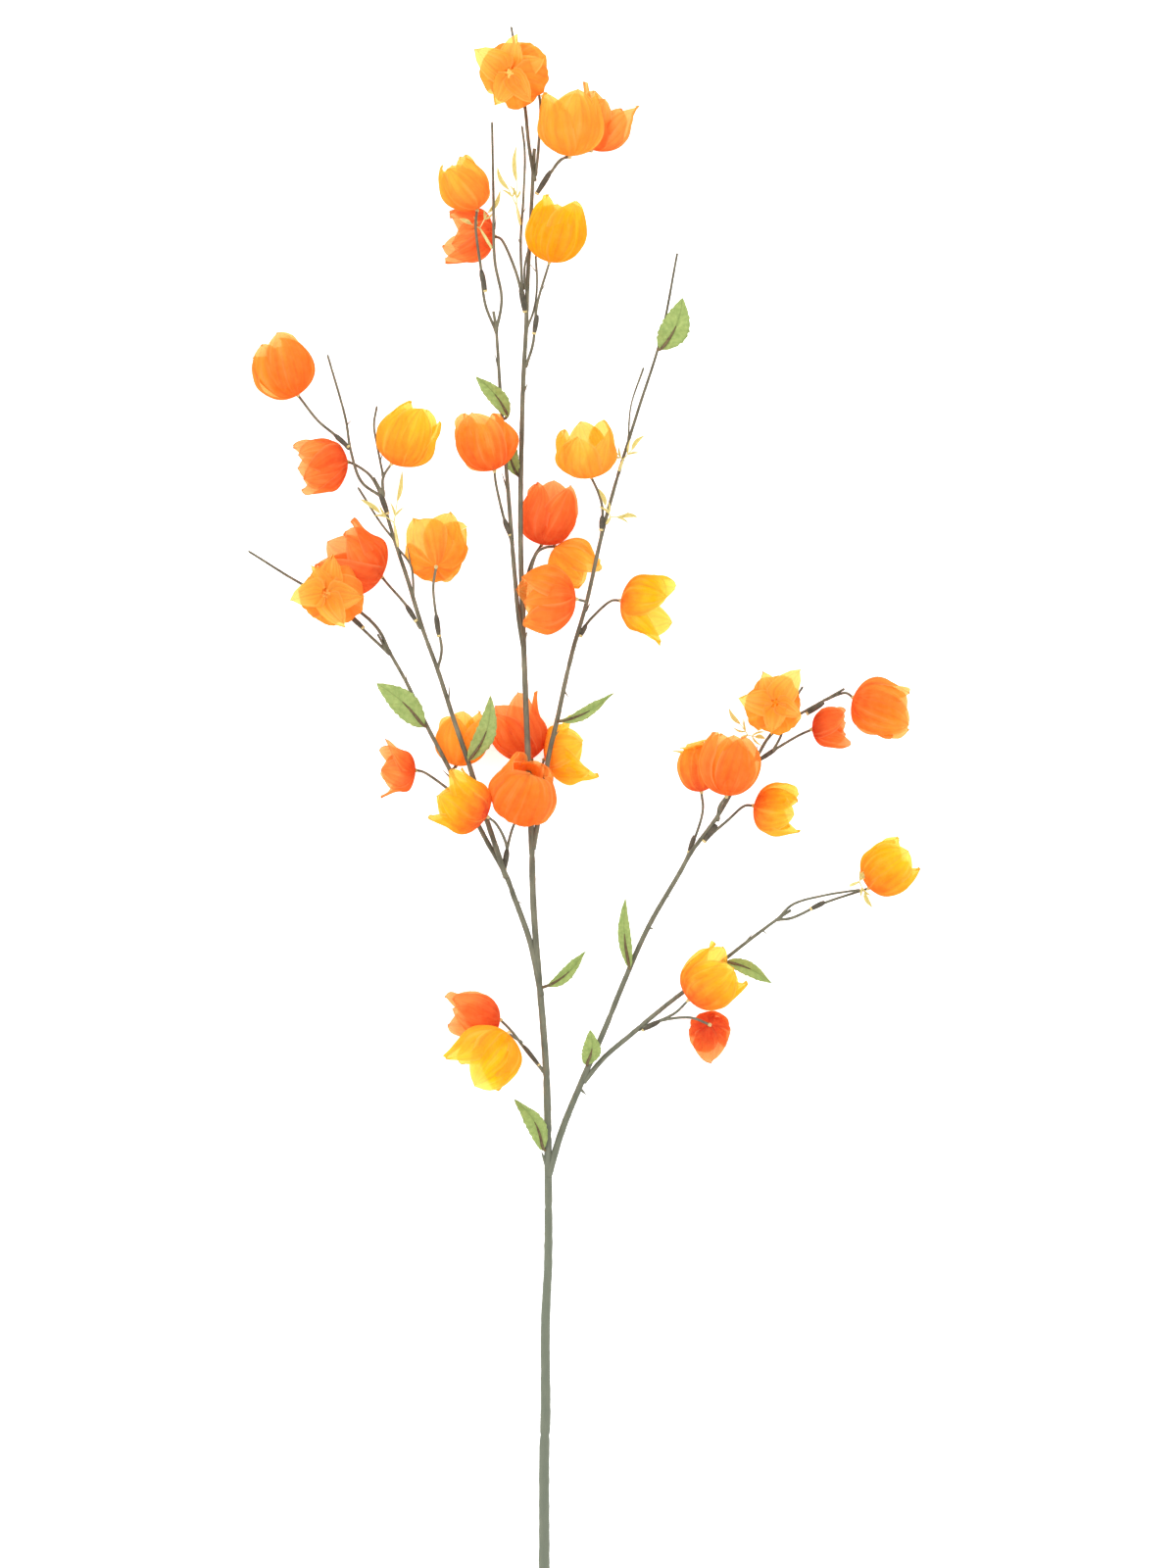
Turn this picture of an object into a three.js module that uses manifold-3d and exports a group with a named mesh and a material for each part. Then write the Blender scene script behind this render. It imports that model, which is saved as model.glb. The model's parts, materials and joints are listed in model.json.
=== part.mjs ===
// A ground cherry cluster: one long branching spray with 35 papery husks, lying on a table.
// Millimetres. The stem runs along +Y from its cut end near the origin, and +Z is up.
// Every branch is one solid with its own twigs, stalks, collars and thorns.
import * as THREE from 'three';
import Module from 'manifold-3d';
import { mergeVertices } from 'three/addons/utils/BufferGeometryUtils.js';

const wasm = await Module();
wasm.setup();
const { Manifold } = wasm;

// ---------------------------------------------------------------- driving dimensions
const GAP = 0.4; // air left between neighbouring pieces
const TABLE = 0; // height of the surface that the spray lies on
const BARK_SIDES = 8; // sides of a branch
const TWIG_SIDES = 5; // sides of a twig or a stalk
const LOBES = 5; // petals of a husk
const LEAF_THICKNESS = 1.2;

const COLOURS = {
  amber: 0xf79c2a,
  orange: 0xf2742c,
  vermilion: 0xe8572a,
  yellow: 0xfbb81c,
  bark: 0x6f6c5a,
  leaf: 0x9db56a,
  sprig: 0xe9d98c,
};

// ---------------------------------------------------------------- the branching
// route: where the middle of the branch runs. radii: its radius at even steps from start to end.
// twigs: [radius at the start, radius at the tip, route]. stalks: the same, each named for the
// husk that it carries. collars: [from, to, radius]. thorns: [root, tip, root radius].
const BRANCHES = {
  main_stem: {
    radii: [4, 3.6, 3, 2.5, 2.3, 2.1, 1.8, 1.6, 1.3],
    route: [
      [0, -17, 3.4], [0, 29, 3.4], [0, 72, 4.2], [1, 115, 6], [1, 180, 9], [3, 223, 12],
      [3, 292, 16], [2, 356, 21], [0, 389, 24], [-3, 425, 27], [-6, 461, 31], [-8, 493, 34],
      [-9, 533, 38], [-12, 605, 44], [-15, 684, 47], [-17, 752, 47], [-17, 792, 46],
      [-15, 875, 44], [-13, 911, 43], [-12, 943, 42], [-10, 983, 41], [-7, 1043, 38],
    ],
    twigs: [
      [1.2, 0.4, [[-7, 1020, 40], [-11, 1045, 39], [-14, 1074, 34], [-17, 1091, 27], [-24, 1133, 26]]],
      [0.9, 0.4, [[-16, 940, 46], [-17, 975, 47], [-15, 1006, 47], [-14, 1040, 48], [-16, 1058, 48]]],
      [0.8, 0.5, [[-14, 940, 45], [-14, 956, 46], [-10, 973, 45]]],
      [0.8, 0.4, [[-13, 909, 43], [-7, 925, 48], [-5, 943, 49], [-6, 963, 47]]],
    ],
    stalks: {
      husk_01: [0.9, 0.7, [[-6, 1024, 40], [-4, 1044, 38], [-4, 1084, 33], [-15, 1100, 31]]],
      husk_02: [0.8, 0.7, [[5, 1025, 43], [12, 1034, 47], [19, 1036, 51]]],
      husk_03: [0.8, 0.7, [[5, 1025, 43], [13, 1035, 37], [24, 1040, 27], [35, 1043, 21]]],
      husk_05: [0.9, 0.7, [[-17, 940, 46], [-22, 956, 46], [-31, 976, 37], [-36, 979, 27]]],
      husk_06: [0.9, 0.7, [[-13, 883, 44], [-8, 899, 47], [-5, 927, 51], [4, 958, 55]]],
      husk_15: [0.9, 0.7, [[-15, 691, 47], [-12, 730, 39], [-7, 744, 31], [-2, 752, 22]]],
      husk_16: [0.9, 0.7, [[-12, 724, 41], [-5, 746, 35], [1, 750, 30], [8, 751, 23]]],
      husk_22: [0.9, 0.7, [[-10, 576, 41], [-7, 586, 30], [-9, 594, 20]]],
      husk_25: [1.1, 0.7, [[0, 364, 21], [-11, 377, 21], [-25, 395, 20], [-32, 402, 20]]],
      husk_26: [0.8, 0.7, [[-17, 386, 21], [-24, 391, 33], [-26, 393, 41]]],
    },
    collars: [
      [[-5, 1010, 41], [5, 1026, 43], 2.1],
      [[-14, 923, 44], [-17, 941, 46], 2.1],
      [[-7, 907, 48], [-5, 920, 50], 2.0],
      [[-4, 369, 21], [-15, 383, 21], 1.7],
    ],
    thorns: [
      [[-15, 680, 47], [-12, 688, 49], 1.3], [[2, 295, 16], [-2, 305, 19], 1.8],
      [[-16, 831, 45], [-18, 834, 48], 1], [[-15, 863, 44], [-12, 870, 46], 1],
      [[-17, 971, 47], [-19, 977, 48], 0.5], [[-16, 994, 47], [-13, 999, 48], 0.5],
      [[-3, 936, 52], [1, 942, 54], 0.5], [[-5, 951, 49], [-10, 957, 50], 0.5],
    ],
  },
  right_branch: {
    radii: [2.7, 2.1, 1.8, 1.4, 0.9],
    route: [
      [3, 286, 16], [13, 320, 18], [28, 357, 20], [45, 396, 22], [60, 433, 23], [77, 471, 24],
      [99, 509, 25], [108, 525, 25], [127, 551, 26], [145, 581, 27], [156, 595, 28],
      [166, 611, 28], [178, 621, 29], [207, 638, 31], [221, 646, 32],
    ],
    twigs: [
      [0.9, 0.4, [[166, 611, 28], [176, 625, 30], [190, 647, 33]]],
    ],
    stalks: {
      husk_27: [0.8, 0.7, [[169, 601, 29], [175, 614, 31], [173, 623, 34], [169, 630, 36]]],
      husk_28: [0.9, 0.7, [[158, 594, 28], [171, 602, 28], [188, 612, 27], [197, 616, 26]]],
      husk_29: [0.8, 0.7, [[207, 638, 31], [222, 643, 31], [227, 640, 29]]],
      husk_30: [0.9, 0.7, [[95, 502, 24], [107, 526, 20], [117, 556, 17], [116, 570, 17]]],
      husk_31: [1.1, 0.7, [[128, 550, 26], [129, 559, 35], [134, 567, 50]]],
      husk_32: [0.9, 0.7, [[122, 538, 26], [135, 549, 26], [148, 560, 25], [154, 560, 24]]],
    },
    collars: [
      [[107, 526, 20], [111, 538, 19], 1.9], [[118, 534, 26], [127, 546, 26], 2.2],
      [[159, 594, 28], [171, 602, 28], 1.8], [[194, 628, 30], [206, 636, 31], 1.9],
    ],
    thorns: [
      [[156, 596, 28], [157, 604, 30], 0.6], [[27, 351, 20], [31, 347, 21], 1.2],
      [[78, 470, 24], [81, 469, 26], 0.8], [[89, 493, 25], [93, 493, 26], 0.8],
    ],
  },
  lower_right_branch: {
    radii: [2, 1.8, 1.4, 1.1],
    route: [
      [29, 356, 20], [44, 374, 19], [65, 392, 18], [89, 412, 17], [119, 435, 16],
      [145, 456, 17], [173, 477, 18], [182, 483, 19],
    ],
    twigs: [
      [0.9, 0.4, [[172, 476, 18], [183, 487, 20], [207, 494, 22], [232, 498, 24]]],
    ],
    stalks: {
      husk_33: [0.9, 0.7, [[172, 476, 18], [182, 477, 18], [206, 488, 19], [239, 499, 21]]],
      husk_34: [0.9, 0.7, [[70, 395, 18], [84, 401, 20], [96, 407, 25], [106, 417, 39]]],
      husk_35: [0.9, 0.7, [[70, 395, 18], [84, 401, 20], [108, 404, 29], [122, 399, 34]]],
    },
    collars: [
      [[197, 484, 19], [207, 489, 19], 1.9], [[73, 395, 18], [85, 401, 21], 1.9],
    ],
    thorns: [
      [[149, 460, 17], [154, 466, 19], 0.6], [[161, 468, 17], [165, 465, 19], 0.6],
    ],
  },
  left_branch: {
    radii: [2.3, 2, 1.7, 1.5, 1.2],
    route: [
      [-2, 420, 27], [-10, 459, 31], [-22, 493, 34], [-28, 509, 36], [-43, 536, 38],
      [-59, 567, 40], [-73, 594, 43], [-87, 621, 45], [-100, 649, 45], [-114, 674, 43],
    ],
    twigs: [
      [1.1, 0.4, [[-113, 672, 43], [-122, 690, 41], [-142, 707, 30], [-176, 722, 26], [-217, 747, 29]]],
      [0.9, 0.8, [[-116, 675, 43], [-122, 686, 44]]],
    ],
    stalks: {
      husk_11: [0.9, 0.7, [[-114, 672, 43], [-129, 686, 42], [-143, 700, 38], [-151, 714, 33]]],
      husk_19: [0.9, 0.7, [[-55, 559, 40], [-74, 575, 35], [-89, 585, 32], [-94, 586, 31]]],
      husk_20: [0.8, 0.7, [[-69, 585, 42], [-67, 587, 33], [-65, 589, 23]]],
      husk_21: [1, 0.7, [[-29, 512, 36], [-27, 528, 40], [-35, 547, 62], [-41, 552, 69]]],
      husk_23: [1, 0.7, [[-29, 512, 36], [-27, 528, 40], [-22, 546, 46], [-19, 550, 48]]],
    },
    collars: [
      [[-133, 691, 41], [-143, 700, 38], 1.9], [[-29, 514, 37], [-27, 528, 40], 2.1],
    ],
    thorns: [
      [[-69, 581, 42], [-74, 586, 44], 0.7], [[-100, 648, 45], [-101, 656, 47], 0.6],
      [[-20, 490, 34], [-16, 488, 36], 0.6],
    ],
  },
  inner_left_branch: {
    radii: [2, 1.9, 1.6, 1.5, 1.2],
    route: [
      [-28, 507, 37], [-32, 520, 40], [-36, 532, 42], [-47, 565, 45], [-57, 597, 47], [-66, 623, 48],
      [-78, 660, 47], [-89, 690, 45], [-100, 726, 43], [-110, 756, 42], [-120, 790, 42],
    ],
    twigs: [
      [1, 0.9, [[-119, 790, 42], [-125, 801, 44]]],
      [0.8, 0.4, [[-118, 802, 43], [-123, 827, 37], [-125, 840, 35], [-123, 853, 35]]],
      [1, 0.4, [[-119, 787, 42], [-134, 798, 38], [-142, 821, 35], [-146, 845, 33], [-159, 891, 33]]],
      [0.8, 0.4, [[-109, 754, 42], [-120, 768, 44], [-136, 793, 47]]],
      [0.8, 0.6, [[-96, 713, 44], [-96, 726, 45], [-98, 737, 46], [-108, 750, 42]]],
    ],
    stalks: {
      husk_07: [0.9, 0.7, [[-144, 823, 35], [-154, 833, 32], [-166, 843, 30], [-181, 862, 25]]],
      husk_08: [0.9, 0.7, [[-120, 790, 42], [-128, 803, 37], [-139, 811, 31], [-144, 813, 28]]],
      husk_09: [1, 0.7, [[-118, 788, 42], [-118, 801, 44], [-112, 811, 46]]],
      husk_10: [0.9, 0.7, [[-91, 691, 45], [-101, 707, 42], [-114, 722, 33], [-119, 728, 28]]],
      husk_12: [0.9, 0.7, [[-78, 660, 47], [-75, 674, 48], [-78, 693, 50], [-81, 720, 54], [-79, 735, 54]]],
    },
    collars: [
      [[-115, 775, 42], [-120, 789, 42], 2.1], [[-144, 824, 35], [-154, 833, 32], 1.9],
      [[-94, 696, 45], [-101, 707, 42], 1.9], [[-77, 685, 49], [-79, 700, 51], 2.0],
    ],
    thorns: [
      [[-120, 814, 41], [-118, 820, 42], 0.5], [[-145, 840, 34], [-141, 844, 35], 0.5],
      [[-70, 634, 48], [-69, 649, 50], 0.8], [[-98, 738, 46], [-100, 750, 47], 0.6],
    ],
  },
  tall_branch: {
    radii: [2, 1.7, 1.4, 1.1, 0.5],
    route: [
      [-8, 528, 38], [-2, 562, 40], [4, 599, 42], [10, 624, 43], [15, 648, 43], [22, 677, 41],
      [31, 708, 39], [42, 757, 38], [53, 798, 37], [69, 850, 37], [86, 904, 37], [98, 966, 38],
    ],
    twigs: [
      [0.6, 0.3, [[62, 829, 37], [64, 854, 40], [73, 881, 42]]],
    ],
    stalks: {
      husk_14: [0.9, 0.7, [[42, 757, 38], [43, 778, 39], [40, 790, 39], [35, 801, 39]]],
      husk_17: [0.9, 0.7, [[30, 703, 39], [31, 709, 54], [24, 711, 73]]],
      husk_18: [0.9, 0.7, [[27, 688, 40], [36, 699, 35], [50, 711, 28], [56, 711, 26]]],
      husk_24: [0.9, 0.7, [[-1, 569, 40], [-4, 580, 32], [0, 594, 21]]],
    },
    collars: [
      [[27, 685, 40], [31, 693, 39], 1.8], [[42, 763, 39], [43, 773, 39], 1.9],
    ],
    thorns: [
      [[31, 703, 39], [34, 709, 41], 0.8], [[62, 840, 38], [63, 845, 40], 0.5],
      [[15, 644, 43], [18, 640, 45], 0.8], [[7, 610, 43], [11, 615, 45], 0.8],
    ],
  },
  middle_branch: {
    radii: [1.7, 1.6, 1.4, 1.3, 1.1],
    route: [
      [-15, 676, 47], [-18, 694, 50], [-21, 725, 51], [-23, 749, 50], [-26, 788, 49],
      [-29, 824, 47], [-32, 864, 46], [-35, 909, 45], [-37, 923, 45],
    ],
    twigs: [
      [1, 0.4, [[-35, 908, 45], [-31, 932, 46], [-36, 960, 47], [-37, 1010, 48], [-38, 1061, 48]]],
    ],
    stalks: {
      husk_04: [0.9, 0.7, [[-35, 908, 45], [-43, 928, 47], [-46, 953, 49], [-50, 985, 50], [-49, 997, 48]]],
      husk_13: [0.9, 0.7, [[-23, 752, 49], [-29, 770, 53], [-35, 796, 65], [-36, 805, 70]]],
    },
    collars: [
      [[-43, 938, 48], [-46, 953, 49], 2], [[-25, 759, 50], [-29, 770, 53], 1.9],
    ],
    thorns: [
      [[-36, 983, 48], [-35, 993, 49], 0.5], [[-27, 792, 48], [-31, 805, 50], 0.7],
      [[-34, 883, 46], [-36, 892, 47], 0.6],
    ],
  },
};

// ---------------------------------------------------------------- the husks
// [aim from the stalk, widest radius, length, colour]
const HUSKS = {
  husk_01: [[-0.25, -0.1, 0.95], 25, 40, 'amber'],
  husk_02: [[0.05, 1, 0.05], 25, 49, 'amber'],
  husk_03: [[0.45, 0.9, 0], 20, 42, 'orange'],
  husk_04: [[-0.45, 0.9, 0], 19, 41, 'amber'],
  husk_05: [[-1, 0, 0], 21, 38, 'vermilion'],
  husk_06: [[0.2, 0.97, 0.1], 24, 46, 'yellow'],
  husk_07: [[-0.5, 0.87, 0], 24, 45, 'orange'],
  husk_08: [[-1, -0.1, 0], 20, 42, 'vermilion'],
  husk_09: [[0.5, 0.87, 0.1], 22, 46, 'yellow'],
  husk_10: [[-0.8, 0.6, 0], 24, 48, 'vermilion'],
  husk_11: [[-0.2, 0.05, 0.97], 23, 38, 'amber'],
  husk_12: [[0, 0.55, -0.84], 23, 42, 'amber'],
  husk_13: [[-0.3, 0.95, 0], 22, 44, 'orange'],
  husk_14: [[-0.15, 0.93, 0.25], 22, 39, 'amber'],
  husk_15: [[0.2, 0.98, 0], 22, 49, 'vermilion'],
  husk_16: [[0.5, -0.5, 0], 18, 34, 'amber'],
  husk_17: [[-1, 0, 0], 24, 43, 'orange'],
  husk_18: [[1, -0.15, 0], 24, 44, 'yellow'],
  husk_19: [[-1, 0, 0.1], 18, 33, 'vermilion'],
  husk_20: [[0.2, 0.97, 0], 19, 40, 'amber'],
  husk_21: [[-0.88, 0.45, 0], 22, 43, 'yellow'],
  husk_22: [[-0.4, 0.9, 0], 20, 48, 'vermilion'],
  husk_23: [[0.15, 0.75, 0.65], 23, 44, 'orange'],
  husk_24: [[0.95, 0.25, 0], 22, 38, 'yellow'],
  husk_25: [[-0.97, 0.1, 0], 20, 42, 'vermilion'],
  husk_26: [[-0.55, -0.83, 0], 22, 42, 'yellow'],
  husk_27: [[0, 0.15, 0.98], 21, 37, 'amber'],
  husk_28: [[1, 0.1, 0], 16, 28, 'vermilion'],
  husk_29: [[0.93, -0.35, 0], 23, 44, 'orange'],
  husk_30: [[-0.15, 0.98, 0], 15, 35, 'amber'],
  husk_31: [[0.1, 1, 0], 22, 44, 'orange'],
  husk_32: [[0.97, -0.2, 0], 20, 36, 'yellow'],
  husk_33: [[0.7, 0.7, 0], 21, 40, 'yellow'],
  husk_34: [[0.75, 0.65, 0], 23, 45, 'yellow'],
  husk_35: [[0, -0.45, -0.88], 16, 28, 'vermilion'],
};

// radius at steps along the husk, as [share of the length, share of the widest radius, lobe depth]
const HUSK_RINGS = [[0.1, 0.42, 0.03], [0.3, 0.86, 0.06], [0.55, 1, 0.08], [0.78, 0.86, 0.14]];
const NOTCH_REACH = 0.8; // share of the length at which two petals part
const NOTCH_RADIUS = 0.5; // and how far out, as a share of the widest radius
const TIP_RADIUS = 0.55; // how far out a petal's point is

// ---------------------------------------------------------------- leaves and pale sprigs
// leaves: [base, tip, width, arch].
const LEAVES = {
  leaf_top: [[86, 895, 40], [102, 933, 44], 20, 4],
  leaf_middle_upper: [[-26, 845, 50], [-50, 875, 51], 12, 4],
  leaf_middle_lower: [[-19, 802, 42], [-23, 835, 41], 11, 3],
  leaf_outer_left: [[-88, 618, 48], [-123, 650, 44], 18, 4],
  leaf_inner_left: [[-55, 593, 51], [-39, 641, 57], 14, 4],
  leaf_curled: [[12, 622, 47], [52, 643, 46], 8, 6],
  leaf_right: [[63, 440, 26], [60, 492, 27], 9, 3],
  leaf_lower_right: [[134, 445, 19], [168, 429, 18], 10, 4],
  leaf_fork: [[31, 369, 23], [34, 395, 26], 13, 3],
  leaf_narrow: [[2, 427, 29], [31, 453, 27], 9, 5],
  leaf_low: [[-1, 306, 20], [-22, 344, 24], 13, 4],
};

// sprigs: [root, fork, width of a leaf, tips of its leaves]. Each is a short wire and its leaves.
const SPRIGS = {
  sprig_left_top: [[-38, 969, 46], [-47, 984, 46], 4, [[-62, 991, 45], [-32, 1012, 46]]],
  sprig_top: [[-17, 986, 50], [-20, 1000, 52], 4, [[-20, 1044, 53], [-34, 1029, 52]]],
  sprig_tall: [[55, 806, 40], [58, 814, 42], 4, [[46, 828, 42], [74, 832, 42]]],
  sprig_tall_lower: [[46, 767, 41], [49, 772, 43], 4, [[40, 793, 44], [69, 772, 42]]],
  sprig_left: [[-107, 750, 45], [-110, 768, 46], 4, [[-104, 806, 47], [-135, 785, 50]]],
  sprig_right: [[145, 610, 31], [150, 612, 32], 4, [[136, 632, 32], [163, 609, 33]]],
  sprig_lower_right: [[225, 501, 27], [232, 504, 28], 4, [[237, 512, 29], [242, 485, 27]]],
};

// ---------------------------------------------------------------- geometry helpers
const vec = (point) => new THREE.Vector3(...point);

/** A closed solid from points and triangles. */
function solidFrom(points, triangles) {
  const geometry = new THREE.BufferGeometry();
  const numbers = points.flatMap((point) => point.toArray());
  geometry.setAttribute('position', new THREE.Float32BufferAttribute(numbers, 3));
  geometry.setIndex(triangles.flat());
  const merged = mergeVertices(geometry, 1e-4);
  return Manifold.ofMesh(
    new wasm.Mesh({
      numProp: 3,
      vertProperties: new Float32Array(merged.attributes.position.array),
      triVerts: new Uint32Array(merged.index.array),
    }),
  );
}

/** Rings of points joined into a closed skin, with one point closing each end. */
function skinned(start, rings, end) {
  const count = rings[0].length;
  const points = [start, ...rings.flat(), end];
  const last = points.length - 1;
  const triangles = [];
  for (let i = 0; i < count; i += 1) {
    const next = (i + 1) % count;
    triangles.push([0, 1 + next, 1 + i]);
    for (let r = 0; r < rings.length - 1; r += 1) {
      const low = 1 + r * count;
      const high = low + count;
      triangles.push([low + i, low + next, high + next], [low + i, high + next, high + i]);
    }
    const rim = 1 + (rings.length - 1) * count;
    triangles.push([last, rim + i, rim + next]);
  }
  return solidFrom(points, triangles);
}

/** Two directions square to the given one; the first is as level as it can be. */
function across(direction) {
  const up = Math.abs(direction.z) > 0.95 ? new THREE.Vector3(0, 1, 0) : new THREE.Vector3(0, 0, 1);
  const side = new THREE.Vector3().crossVectors(direction, up).normalize();
  return [side, new THREE.Vector3().crossVectors(direction, side).normalize()];
}

/** A round rod that follows a smooth curve through the route, its radius read from a list. */
function rod(route, radii, sides, swell = 0) {
  const curve = new THREE.CatmullRomCurve3(route.map(vec), false, 'centripetal');
  const steps = Math.max(1, Math.ceil((route.length - 1) * 1.3));
  const rings = [];
  let side = null;
  for (let s = 0; s <= steps; s += 1) {
    const t = s / steps;
    const centre = curve.getPointAt(t);
    const along = curve.getTangentAt(t);
    side = side === null ? across(along)[0] : side.addScaledVector(along, -side.dot(along)).normalize();
    const other = new THREE.Vector3().crossVectors(along, side);
    const place = t * (radii.length - 1);
    const cell = Math.min(Math.floor(place), radii.length - 2);
    const radius = THREE.MathUtils.lerp(radii[cell], radii[cell + 1], place - cell) + swell;
    rings.push(
      Array.from({ length: sides }, (_, k) => {
        const angle = ((k + 0.5) / sides) * Math.PI * 2;
        return centre
          .clone()
          .addScaledVector(side, Math.cos(angle) * radius)
          .addScaledVector(other, Math.sin(angle) * radius);
      }),
    );
  }
  return skinned(curve.getPointAt(0), rings, curve.getPointAt(1));
}

/** A branch with everything that grows out of it, as one solid. */
function branch(plan, swell = 0) {
  const rods = [rod(plan.route, plan.radii, BARK_SIDES, swell)];
  for (const [start, tip, route] of [...plan.twigs, ...Object.values(plan.stalks)]) {
    rods.push(rod(route, [start, tip], TWIG_SIDES, swell));
  }
  for (const [from, to, radius] of plan.collars) {
    rods.push(rod([from, to], [radius * 0.8, radius], BARK_SIDES, swell));
  }
  for (const [root, tip, radius] of plan.thorns) {
    rods.push(rod([root, tip], [radius, 0.2], TWIG_SIDES, swell));
  }
  return Manifold.union(rods);
}

/** A papery husk: five bulging lobes that gather at the stalk and part into five points. */
function husk(neck, [aim, radius, length], swell = 0) {
  const along = vec(aim).normalize();
  const [side, other] = across(along);
  const start = neck.clone().addScaledVector(along, GAP - swell);
  const sides = LOBES * 2;
  const at = (reach, out, k) => {
    const angle = (k / sides) * Math.PI * 2;
    return start
      .clone()
      .addScaledVector(along, reach)
      .addScaledVector(side, Math.cos(angle) * out)
      .addScaledVector(other, Math.sin(angle) * out);
  };
  const rings = HUSK_RINGS.map(([reach, out, lobe]) =>
    Array.from({ length: sides }, (_, k) => {
      const bulge = k % 2 ? 1 - lobe : 1;
      return at(reach * length, out * radius * bulge + swell, k);
    }),
  );
  rings.push(
    Array.from({ length: sides }, (_, k) =>
      k % 2
        ? at(NOTCH_REACH * length, NOTCH_RADIUS * radius + swell, k)
        : at(length + swell, TIP_RADIUS * radius + swell, k),
    ),
  );
  return skinned(start, rings, at(NOTCH_REACH * length + swell, 0, 0));
}

/** A leaf blade: a thin pointed sheet that arches up along its middle. */
function leaf([base, tip, width, arch], swell = 0) {
  const from = vec(base);
  const span = vec(tip).sub(from);
  const side = across(span.clone().normalize())[0];
  const steps = 5;
  const rings = [];
  for (let s = 1; s < steps; s += 1) {
    const t = s / steps;
    const half = (width / 2) * Math.sin(Math.PI * t ** 0.8) + swell;
    const centre = from.clone().addScaledVector(span, t);
    centre.z += arch * Math.sin(Math.PI * t);
    const lift = LEAF_THICKNESS / 2 + swell;
    rings.push([
      centre.clone().addScaledVector(side, half),
      centre.clone().add(new THREE.Vector3(0, 0, -lift)),
      centre.clone().addScaledVector(side, -half),
      centre.clone().add(new THREE.Vector3(0, 0, lift)),
    ]);
  }
  return skinned(from, rings, vec(tip));
}

/** A pale sprig: a short wire with a narrow leaf to each of the given tips. */
function sprig([root, fork, width, tips], swell = 0) {
  const stalk = rod([root, fork], [0.5, 0.6], TWIG_SIDES, swell);
  const blades = tips.map((tip) => {
    const reach = vec(tip).sub(vec(fork));
    const start = vec(fork).addScaledVector(reach, -0.05);
    return leaf([start.toArray(), tip, width, 1.5], swell);
  });
  return Manifold.union([stalk, ...blades]);
}

// ---------------------------------------------------------------- putting it together
const cluster = new THREE.Group();
cluster.name = 'ground_cherry_cluster';
const placed = []; // what later pieces must keep clear of

/** The largest piece of a solid, kept above the table. */
function mainPiece(solid) {
  const pieces = solid.trimByPlane([0, 0, 1], TABLE).decompose();
  return pieces.reduce((best, piece) => (piece.volume() > best.volume() ? piece : best));
}

/** Adds a piece, cut back where an earlier piece already is. */
function add(name, build, colour, roughness) {
  let solid = build(0);
  const box = solid.boundingBox();
  for (const other of placed) {
    const apart = [0, 1, 2].some((i) => box.min[i] > other.box.max[i] || box.max[i] < other.box.min[i]);
    if (!apart) {
      solid = solid.subtract(other.grown);
    }
  }
  solid = mainPiece(solid);
  const grown = build(GAP);
  placed.push({ grown, box: grown.boundingBox() });

  const mesh = solid.getMesh();
  const geometry = new THREE.BufferGeometry();
  geometry.setAttribute('position', new THREE.Float32BufferAttribute(mesh.vertProperties, 3));
  geometry.setIndex(new THREE.Uint32BufferAttribute(mesh.triVerts, 1));
  const part = new THREE.Mesh(
    geometry,
    new THREE.MeshStandardMaterial({ color: COLOURS[colour], roughness, metalness: 0 }),
  );
  part.name = name;
  cluster.add(part);
}

for (const [name, plan] of Object.entries(BRANCHES)) {
  add(name, (swell) => branch(plan, swell), 'bark', 0.8);
}

for (const plan of Object.values(BRANCHES)) {
  for (const [name, [, , route]] of Object.entries(plan.stalks)) {
    const neck = vec(route.at(-1));
    add(name, (swell) => husk(neck, HUSKS[name], swell), HUSKS[name][3], 0.9);
  }
}

for (const [name, plan] of Object.entries(LEAVES)) {
  add(name, (swell) => leaf(plan, swell), 'leaf', 0.7);
}

for (const [name, plan] of Object.entries(SPRIGS)) {
  add(name, (swell) => sprig(plan, swell), 'sprig', 0.7);
}

// The origin is the middle of the spray's footprint, on the table.
const footprint = new THREE.Box3().setFromObject(cluster).getCenter(new THREE.Vector3());
cluster.position.set(-footprint.x, -footprint.y, -TABLE);

export default cluster;
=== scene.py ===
"""A ground cherry cluster: a long branching spray with papery cloth husks, lying on a table.

Metres, in the frame of the CAD model: the stem runs along +Y and +Z is up. The branches are wire
twigs in moulded bark and the husks are five thin cupped petals each. Every bark, petals, blade and
wire piece stands for the plain solid that it is named after. The sleeves, cuffs, knobs, leaf
stalks and sprig leaves are pieces of their own, which stand for no solid.
"""

import json
import math
import random

import bpy
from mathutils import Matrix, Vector, noise


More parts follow.
